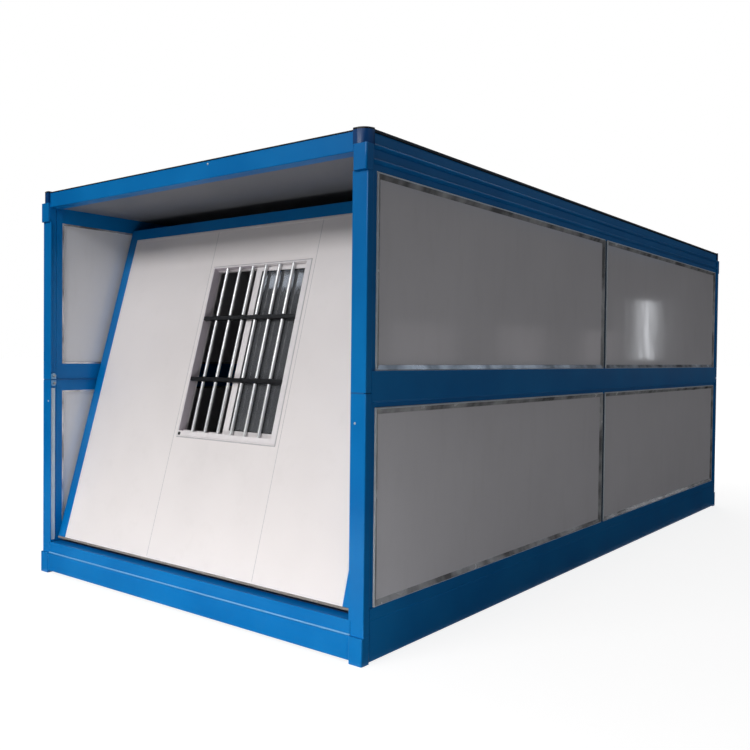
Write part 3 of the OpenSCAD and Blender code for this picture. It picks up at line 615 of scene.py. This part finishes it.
def front_rivets():
    """Small bright rivets in the front faces of the front posts, and one in the roof beam."""
    beam_low, beam_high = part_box("roof_front_beam")
    post_middle, post_level, beam_off_middle, below_top = 1.290, 1.12, 0.257, 0.020
    places = [(x, -post_high.y, post_level) for x in (-post_middle, post_middle)]
    places.append((beam_off_middle, beam_low.y, beam_high.z - below_top))
    piece("front_rivets", [turned(PAN_HEAD, (0, -1, 0), places)], STAINLESS, "house")


def roof_screws():
    """Roofing screws with sealing washers, on the crown of each fold of the roof sheet."""
    top, fold_pitch, purlin_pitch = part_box("roof_sheet")[1].z, 0.25, 0.56
    places = [(x, y, top) for x in np.arange(-2, 3) * purlin_pitch for y in np.arange(-10, 11) * fold_pitch]
    piece("roof_screws", [turned(HEX_HEAD, (0, 0, 1), places, 6), turned(WASHER, (0, 0, 1), places, 10)],
          ZINC, "house", 25)


def ceiling_joints():
    """Cover strips over the joints of the ceiling sheets, every 0.9 m: shallow domes 30 mm wide."""
    low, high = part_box("ceiling_panel")
    shapes = [bar(dome(0.030, 0.0025, -0.0005), (low.x + 0.002, y, low.z), (high.x - 0.002, y, low.z),
                  (0, 1, 0), (0, 0, -1)) for y in np.linspace(low.y, high.y, 7)[1:-1]]
    piece("ceiling_joints", shapes, CEILING_SKIN, "house")


def floor_joints():
    """Sealed joints between the floor boards, every 0.9 m."""
    low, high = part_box("floor_board")
    shapes = [bar(dome(0.006, 0.0008, -0.0005, 4), (low.x + 0.01, y, high.z), (high.x - 0.01, y, high.z),
                  (0, 1, 0), (0, 0, 1)) for y in np.linspace(low.y, high.y, 7)[1:-1]]
    piece("floor_joints", shapes, BROWN_RUBBER, "house")


# ---------------------------------------------------------------- end walls

hinge = frame["joints"][0]
LEAN = math.radians(-hinge["range_deg"][0])
AXIS = np.array(hinge["pos_m"])


def to_wall(points, lean=LEAN, end=1):
    """Row frame to an end wall's own frame: across, outwards from the hinge axis, and up the wall."""
    p = (np.asarray(points, float) - AXIS * [1, end, 1]) * [1, end, 1]
    return np.stack([p[:, 0], -p[:, 1] * math.cos(lean) + p[:, 2] * math.sin(lean),
                     p[:, 1] * math.sin(lean) + p[:, 2] * math.cos(lean)], -1)


def from_wall(points, lean=LEAN, end=1):
    """An end wall's own frame to the row frame: the hinge axis, plus outwards and up turned by the lean."""
    p = np.asarray(points, float)
    leaning = np.stack([p[:, 0], -p[:, 1] * math.cos(lean) + p[:, 2] * math.sin(lean),
                        p[:, 1] * math.sin(lean) + p[:, 2] * math.cos(lean)], -1)
    return (leaning + AXIS) * [1, end, 1]


def wall_box(name, lean=LEAN, end=1):
    """Lowest and highest corner of a node in an end wall's own frame."""
    flat = np.zeros(len(nodes[name].data.vertices) * 3, np.float32)
    nodes[name].data.vertices.foreach_get("co", flat)
    p = to_wall(flat.reshape(-1, 3), lean, end)
    return p.min(0), p.max(0)


def stand(shape, lean=LEAN, end=1):
    """A shape drawn in an end wall's own frame, put in its place."""
    return from_wall(shape[0], lean, end), shape[1]


def wall_ring(profile, low, high, depth):
    """Mitred ring in an end wall's own frame, u off its outline and v outwards from a depth."""
    points, faces = mitred_ring(profile, (low[0], low[2]), (high[0], high[2]))
    return np.stack([points[:, 0], depth + points[:, 2], points[:, 1]], -1), faces


# Folded white edging over the joint of sheets and frame, u outwards across the joint
EDGING = [[-0.012, -0.002], [-0.012, 0.0008], [-0.009, 0.0018], [0.002, 0.0022], [0.0045, 0.0012],
          [0.005, -0.002]]


def window_wall_edging():
    """White edging round the window wall's sheets, and narrow cover strips on the two joints between them."""
    low, high = wall_box("window_wall_left_panel")[0], wall_box("window_wall_right_panel")[1]
    ring = wall_ring(EDGING, low, high, high[1])
    piece("window_wall_edging", [stand(ring)], UPVC, "window_wall")
    joints = []
    for name in ("window_wall_left_panel", "window_wall_middle_panel"):
        x = wall_box(name)[1][0] + 0.001
        for depth, way in ((high[1], 1), (low[1], -1)):
            joints.append(stand(bar(dome(0.0045, 0.0009, -0.0003, 4), (x, depth, low[2] + 0.004),
                                    (x, depth, high[2] - 0.004), (1, 0, 0), (0, way, 0))))
    piece("window_wall_joints", joints, GRAY_SILICONE, "window_wall")


def window_wall_seal():
    """Brown rubber seal along the window wall's foot: a rounded lip on the bottom rail's outer face."""
    low, high = wall_box("window_wall_frame")
    lip = [[0.0005, -0.001], [0.0005, 0.0030], [0.0040, 0.0045], [0.0090, 0.0045], [0.0125, 0.0030],
           [0.0125, -0.001]]
    shape = bar(lip, (low[0] + 0.006, high[1], low[2]), (high[0] - 0.006, high[1], low[2]),
                (0, 0, 1), (0, 1, 0))
    piece("window_wall_seal", [stand(shape)], BROWN_RUBBER, "window_wall")


window_low, window_high = wall_box("window_frame")
sash_low, sash_high = wall_box("window_sashes")
opening_left = wall_box("grille_rails")[0][0]
SASHES = (sash_high[1] - 0.008, sash_low[1] + 0.008)     # middles of the front and of the back sash
MEETING, SASH_RAIL = 0.047, 0.030               # widths of a sash's closing stile and other members


def window_sealant():
    """Gray bead of sealant in the corner of window frame and sheet, all round."""
    skin = wall_box("window_wall_middle_panel")[1][1]
    bead = [[-0.001, -0.001], [-0.001, 0.0030], [0.0020, 0.0026], [0.0050, 0.0004], [0.0055, -0.001]]
    shape = wall_ring(bead, window_low, window_high, skin)
    piece("window_sealant", [stand(shape)], GRAY_SILICONE, "window_wall")


def window_lining():
    """Gray lining of the open jamb and of the head, in front of the sashes and beside them: painted shade."""
    face, inner, head = window_high[1] - 0.002, window_low[1] + 0.012, sash_high[2]
    lining = [[0.0, face], [0.0014, face - 0.001], [0.0014, inner + 0.001], [0.0, inner]]
    shapes = [bar(lining, (opening_left, 0, sash_low[2] + 0.001), (opening_left, 0, head - 0.001),
                  (1, 0, 0), (0, 1, 0)),
              bar(lining, (opening_left + 0.002, 0, head), (sash_low[0] - 0.002, 0, head),
                  (0, 0, -1), (0, 1, 0))]
    piece("window_lining", [stand(shape) for shape in shapes], MAUVE_SHADE_LINING, "window_wall")


def window_guides():
    """A guide fin for each sash on the sill and on the head, and the drip nose along the window's foot."""
    fin = rounded(0.003, 0.012, 0.0008)
    shapes = []
    for depth in SASHES:
        for level in (sash_low[2] + 0.0055, sash_high[2] - 0.0055):
            shapes.append(bar(fin, (opening_left + 0.001, depth, level), (sash_low[0] - 0.002, depth, level),
                              (0, 1, 0), (0, 0, 1)))
    nose = [[-0.002, -0.001], [-0.002, 0.003], [0.001, 0.0045], [0.004, 0.0030], [0.005, -0.001]]
    foot = window_low[2] + 0.003
    shapes.append(bar(nose, (window_low[0] + 0.001, window_high[1], foot),
                      (window_high[0] - 0.001, window_high[1], foot), (0, 0, 1), (0, 1, 0)))
    piece("window_guides", [stand(shape) for shape in shapes], UPVC, "window_wall")


def window_gaskets():
    """Wedge gaskets on both faces of both panes, and the pile strip on the closing edge of each sash."""
    gasket = [[-0.0005, -0.001], [-0.0005, 0.0022], [-0.0030, 0.0028], [-0.0050, 0.0010], [-0.0050, -0.001]]
    low = (sash_low[0] + MEETING, sash_low[2] + SASH_RAIL)
    high = (sash_high[0] - SASH_RAIL, sash_high[2] - SASH_RAIL)
    pane_face, edge = 0.0025, sash_low[0] - 0.0008
    shapes = []
    for middle in SASHES:
        for way in (1, -1):
            points, faces = mitred_ring(gasket, low, high)
            depth = middle + way * (pane_face + points[:, 2])
            shapes.append((np.stack([points[:, 0], depth, points[:, 1]], -1), faces))
        shapes.append(bar(rounded(0.003, 0.007, 0.001), (edge, middle, sash_low[2] + 0.004),
                          (edge, middle, sash_high[2] - 0.004), (1, 0, 0), (0, 1, 0)))
    piece("window_gaskets", [stand(shape) for shape in shapes], BLACK_RUBBER, "window_wall")


def window_drain_cover():
    """Black cover of the drain slot, at the left of the window frame's foot."""
    x, face, level = window_low[0] + 0.022, window_high[1], window_low[2] + 0.018
    cover = bar(rounded(0.020, 0.018, 0.003), (x, face - 0.0005, level), (x, face + 0.0022, level),
                (1, 0, 0), (0, 0, 1))
    piece("window_drain_cover", [stand(cover)], BLACK_RUBBER, "window_wall")


def window_latch():
    """Latch on the inside of the back sash's closing stile: a plate and the grip on it."""
    x, level = sash_low[0] + MEETING / 2, (sash_low[2] + sash_high[2]) / 2
    plate, grip = (0.020, 0.110, -0.0005), (0.010, 0.060, 0.003)
    shapes = [bar(rounded(width, height, 0.004), (x, sash_low[1] - depth, level),
                  (x, sash_low[1] - depth - 0.0045, level), (1, 0, 0), (0, 0, 1))
              for width, height, depth in (plate, grip)]
    piece("window_latch", [stand(shape) for shape in shapes], BLACK, "window_wall")


def grille_details():
    """Weld collars where bars and rails meet, and flanges where the bars meet the window's sill and head."""
    low, high = wall_box("grille_bars")
    rail_low, rail_high = wall_box("grille_rails")
    size = rail_high[1] - rail_low[1]
    depth = (rail_low[1] + rail_high[1]) / 2
    bars = 6
    xs = rail_low[0] + (rail_high[0] - rail_low[0]) * np.arange(1, bars + 1) / (bars + 1)
    up = from_wall([(0, 0, 1)])[0] - AXIS
    collar = [[0.0096, -0.0045], [0.0104, -0.0040], [0.0118, -0.0012], [0.0120, 0.0005], [0.0096, 0.0005]]
    flange = [[0.0096, 0.0024], [0.0120, 0.0022], [0.0138, 0.0012], [0.0140, -0.001]]
    welds, flanges = [], []
    for level, way in ((rail_low[2], 1), (rail_low[2] + size, -1),
                       (rail_high[2] - size, 1), (rail_high[2], -1)):
        welds.append(turned(collar, way * up, from_wall([(x, depth, level) for x in xs])))
    for level, way in ((low[2], 1), (high[2], -1)):
        flanges.append(turned(flange, way * up, from_wall([(x, depth, level) for x in xs])))
    piece("grille_welds", welds, BLACK, "window_wall", 50)
    piece("grille_flanges", flanges, STAINLESS, "window_wall")


def rear_wall_details():
    """White edging round the rear wall's sheets, and the door's gasket, hinges and drip rails."""
    low, high = wall_box("rear_wall_panels", 0.0, -1)
    door_low, door_high = wall_box("rear_door", 0.0, -1)
    jamb_low, jamb_high = wall_box("rear_door_frame", 0.0, -1)
    ring = wall_ring(EDGING, low, high, high[1])
    piece("rear_wall_edging", [stand(ring, 0.0, -1)], UPVC, "house")
    bead = [[-0.004, -0.001], [-0.004, 0.0010], [-0.002, 0.0022], [0.001, 0.0022], [0.003, 0.0010],
            [0.003, -0.001]]
    ring = wall_ring(bead, door_low + [0, 0, 0.004], door_high, door_high[1])
    piece("rear_door_gasket", [stand(ring, 0.0, -1)], BLACK_RUBBER, "house")
    half = [[0.00001, 0.0525], [0.0060, 0.0520], [0.0075, 0.0500], [0.0075, 0.0180], [0.0070, 0.0175],
            [0.0075, 0.0170]]
    knuckle = half + [[radius, -height] for radius, height in half[::-1]]
    x, face, hinge_levels = -door_high[0] - 0.002, jamb_high[1], (0.25, 1.0, 1.75)
    places = from_wall([(x, face + 0.004, level) for level in hinge_levels], 0.0, -1)
    piece("rear_door_hinges", [turned(knuckle, (0, 0, 1), places, 16)], STAINLESS, "house")
    nose = [[0.0, -0.001], [0.0, 0.012], [0.004, 0.018], [0.010, 0.018], [0.016, 0.006], [0.016, -0.001]]
    rails = [bar(nose, (jamb_low[0] + 0.004, face, level), (jamb_high[0] - 0.004, face, level),
                 (0, 0, 1), (0, 1, 0)) for level in (jamb_high[2] - 0.020, jamb_low[2] + 0.002)]
    piece("rear_door_drip_rails", [stand(rail, 0.0, -1) for rail in rails], ALUMINIUM, "house")


roof_edge_seals()
fold_gaskets()
fold_strip_beads()
mullion_seals()
trim_sealant()
hinge_plate_bolts()
ledge_beads()
corner_welds()
front_rivets()
roof_screws()
ceiling_joints()
floor_joints()
window_wall_edging()
window_wall_seal()
window_sealant()
window_lining()
window_guides()
window_gaskets()
window_drain_cover()
window_latch()
grille_details()
rear_wall_details()


# ---------------------------------------------------------------- stage, lights and camera

def seen_rays(tree):
    """1 for the rays of the camera, of gloss and through glass, and 0 for scattered light."""
    rays = add(tree, "LightPath").outputs
    seen = add(tree, "Math", {0: rays["Is Camera Ray"], 1: rays["Is Glossy Ray"]}, operation="MAXIMUM")
    return add(tree, "Math", {0: seen, 1: rays["Is Transmission Ray"]}, operation="MAXIMUM")


def studio_floor():
    """Pale floor: seen white, with a soft shadow that fades with distance, and gray to scattered light."""
    bpy.ops.mesh.primitive_plane_add(size=400)
    floor = bpy.context.object
    floor.name = "studio_floor"
    floor.location = (0, 0, cad_low.z - 0.0005)
    made = bpy.data.materials.new("studio_floor")
    tree = bare(made)
    seen = seen_rays(tree)
    place = add(tree, "TexCoord").outputs["Object"]
    away = add(tree, "VectorMath", {0: place}, operation="LENGTH").outputs["Value"]
    far = add(tree, "MapRange", {0: away, 1: 3.0, 2: 9.0, 3: 0.84, 4: 1.0}, interpolation_type="SMOOTHSTEP")
    glow = add(tree, "Emission", {"Color": (1, 1, 1, 1), "Strength": far})
    pale = add(tree, "BsdfDiffuse", {"Color": (0.30, 0.30, 0.30, 1)})
    gray = add(tree, "BsdfDiffuse", {"Color": (0.36, 0.36, 0.36, 1)})
    white = add(tree, "AddShader", {0: glow, 1: pale})
    add(tree, "OutputMaterial", {"Surface": add(tree, "MixShader", {0: seen, 1: gray, 2: white})})
    floor.data.materials.append(made)


def studio_world():
    """White surroundings to the eye, to gloss and through glass, and a dim even fill for the rest."""
    world = bpy.data.worlds.new("studio")
    bpy.context.scene.world = world
    tree = bare(world)
    strength = add(tree, "MapRange", {0: seen_rays(tree), 3: 0.112, 4: 1.0})
    light = add(tree, "Background", {"Color": (1, 1, 1, 1), "Strength": strength})
    add(tree, "OutputWorld", {"Surface": light})


def gloss_board(name, points, faces, code, strength):
    """Board of one even colour that only gloss sees."""
    mesh = bpy.data.meshes.new(name)
    mesh.from_pydata(np.asarray(points, float).tolist(), [], faces)
    made = put(name, mesh)
    coat = bpy.data.materials.new(name)
    tree = bare(coat)
    glow = add(tree, "Emission", {"Color": linear(code), "Strength": strength})
    add(tree, "OutputMaterial", {"Surface": glow})
    mesh.materials.append(coat)
    made.visible_camera = made.visible_diffuse = made.visible_shadow = made.visible_transmission = False


def flags():
    """Dark boards round the set, as a studio puts round glossy panels: a ring on the floor, four walls."""
    corner = np.array([(-1, -1), (1, -1), (1, 1), (-1, 1)], float)
    foot, wall, floor, top = (1.37, 2.81), (8.0, 16.0), 0.003, 15.0
    rings = ((foot, floor), (wall, floor), (wall, top))
    points = np.concatenate([np.column_stack([corner * half, np.full(4, level)]) for half, level in rings])
    gloss_board("flags", points, quads(3, 4, False, True), "#1A1C1F", 1.0)


def bright_cards():
    """Pale cards whose reflections show the gloss of the side panels, the roof beam and the panes."""
    for name, low, high, code, strength in (
            ("window_card", (6.0, 13.3, 1.44), (6.0, 14.3, 2.84), "#F2F5FA", 3.0),
            ("near_card", (6.0, 3.7, 1.37), (6.0, 5.3, 1.93), "#F2EBF0", 0.3),
            ("middle_card", (6.0, 6.8, 1.38), (6.0, 8.5, 2.00), "#F2EBF0", 0.3),
            ("far_card", (6.0, 10.1, 1.38), (6.0, 11.8, 2.03), "#F2EBF0", 0.3),
            ("beam_card", (6.0, -5.0, 3.9), (6.0, 20.0, 5.2), "#7ABCFF", 0.5),
            ("rib_card", (6.0, -5.0, 5.2), (6.0, 13.0, 7.5), "#C9E0F8", 0.9),
            ("pane_card", (-8.0, -7.0, 5.48), (-4.0, -7.0, 5.74), "#E6F0FF", 5.0)):
        gloss_board(name, [low, (high[0], high[1], low[2]), high, (low[0], low[1], high[2])], [[0, 1, 2, 3]],
                    code, strength)


def softbox(name, place, aim, size, power, gloss=True):
    """Large area light aimed at a point; the ones close by are kept out of the gloss."""
    lamp = bpy.data.lights.new(name, "AREA")
    lamp.shape = "RECTANGLE"
    lamp.size, lamp.size_y = size
    lamp.energy = power
    made = put(name, lamp)
    made.location = place
    made.rotation_mode = "QUATERNION"
    made.rotation_quaternion = (Vector(aim) - Vector(place)).to_track_quat("-Z", "Y")
    made.visible_camera = False
    made.visible_glossy = gloss


studio_floor()
studio_world()
flags()
bright_cards()
softbox("key", (-0.2, -9.0, 5.6), (0, -2.6, 1.3), (5.0, 1.6), 274)
softbox("high_front", (-0.5, -6.3, 6.0), (0, -2.6, 1.3), (7.0, 1.6), 46)
softbox("low_front", (0.0, -4.0, 0.12), (0, -2.8, 0.12), (6.0, 0.2), 28, gloss=False)
softbox("room", (0.9, -4.0, 0.6), (-1.3, -1.8, 1.0), (1.5, 1.5), 3.1, gloss=False)
softbox("right", (8.0, 0.5, 4.5), (1.3, 0, 1.2), (7.0, 3.5), 5)
softbox("right_floor", (2.9, -1.0, 0.02), (2.9, -1.0, 2.0), (2.4, 5.0), 2.6, gloss=False)
softbox("right_far", (5.5, 3.0, 1.0), (1.4, 2.0, 1.0), (5.0, 1.5), 11.5, gloss=False)
softbox("top", (0, 0, 8.0), (0, 0, 0), (5.0, 8.0), 100)
softbox("rear", (-3.5, 9.0, 4.0), (0, 2.7, 1.2), (5.0, 3.5), 240)
softbox("left", (-8.0, 0.5, 4.0), (-1.3, 0, 1.2), (7.0, 3.5), 120)

# Viewpoint: standing to the right of the window end, level with its middle
HEADING, DIP, TILT = math.radians(37.819), math.radians(-1.203), math.radians(0.606)
ahead = Vector((-math.sin(HEADING) * math.cos(DIP), math.cos(HEADING) * math.cos(DIP), math.sin(DIP)))
right = ahead.cross(Vector((0, 0, 1))).normalized()
above = right.cross(ahead)
right, above = (right * math.cos(TILT) + above * math.sin(TILT),
                above * math.cos(TILT) - right * math.sin(TILT))
lens = bpy.data.cameras.new("camera")
lens.sensor_width = 36
lens.lens = 39.95
camera = put("camera", lens)
camera.matrix_world = Matrix((right, above, -ahead)).transposed().to_4x4()
camera.location = (3.719, -5.757, 1.426)
bpy.context.scene.camera = camera
bpy.context.scene.view_settings.view_transform = "Standard"
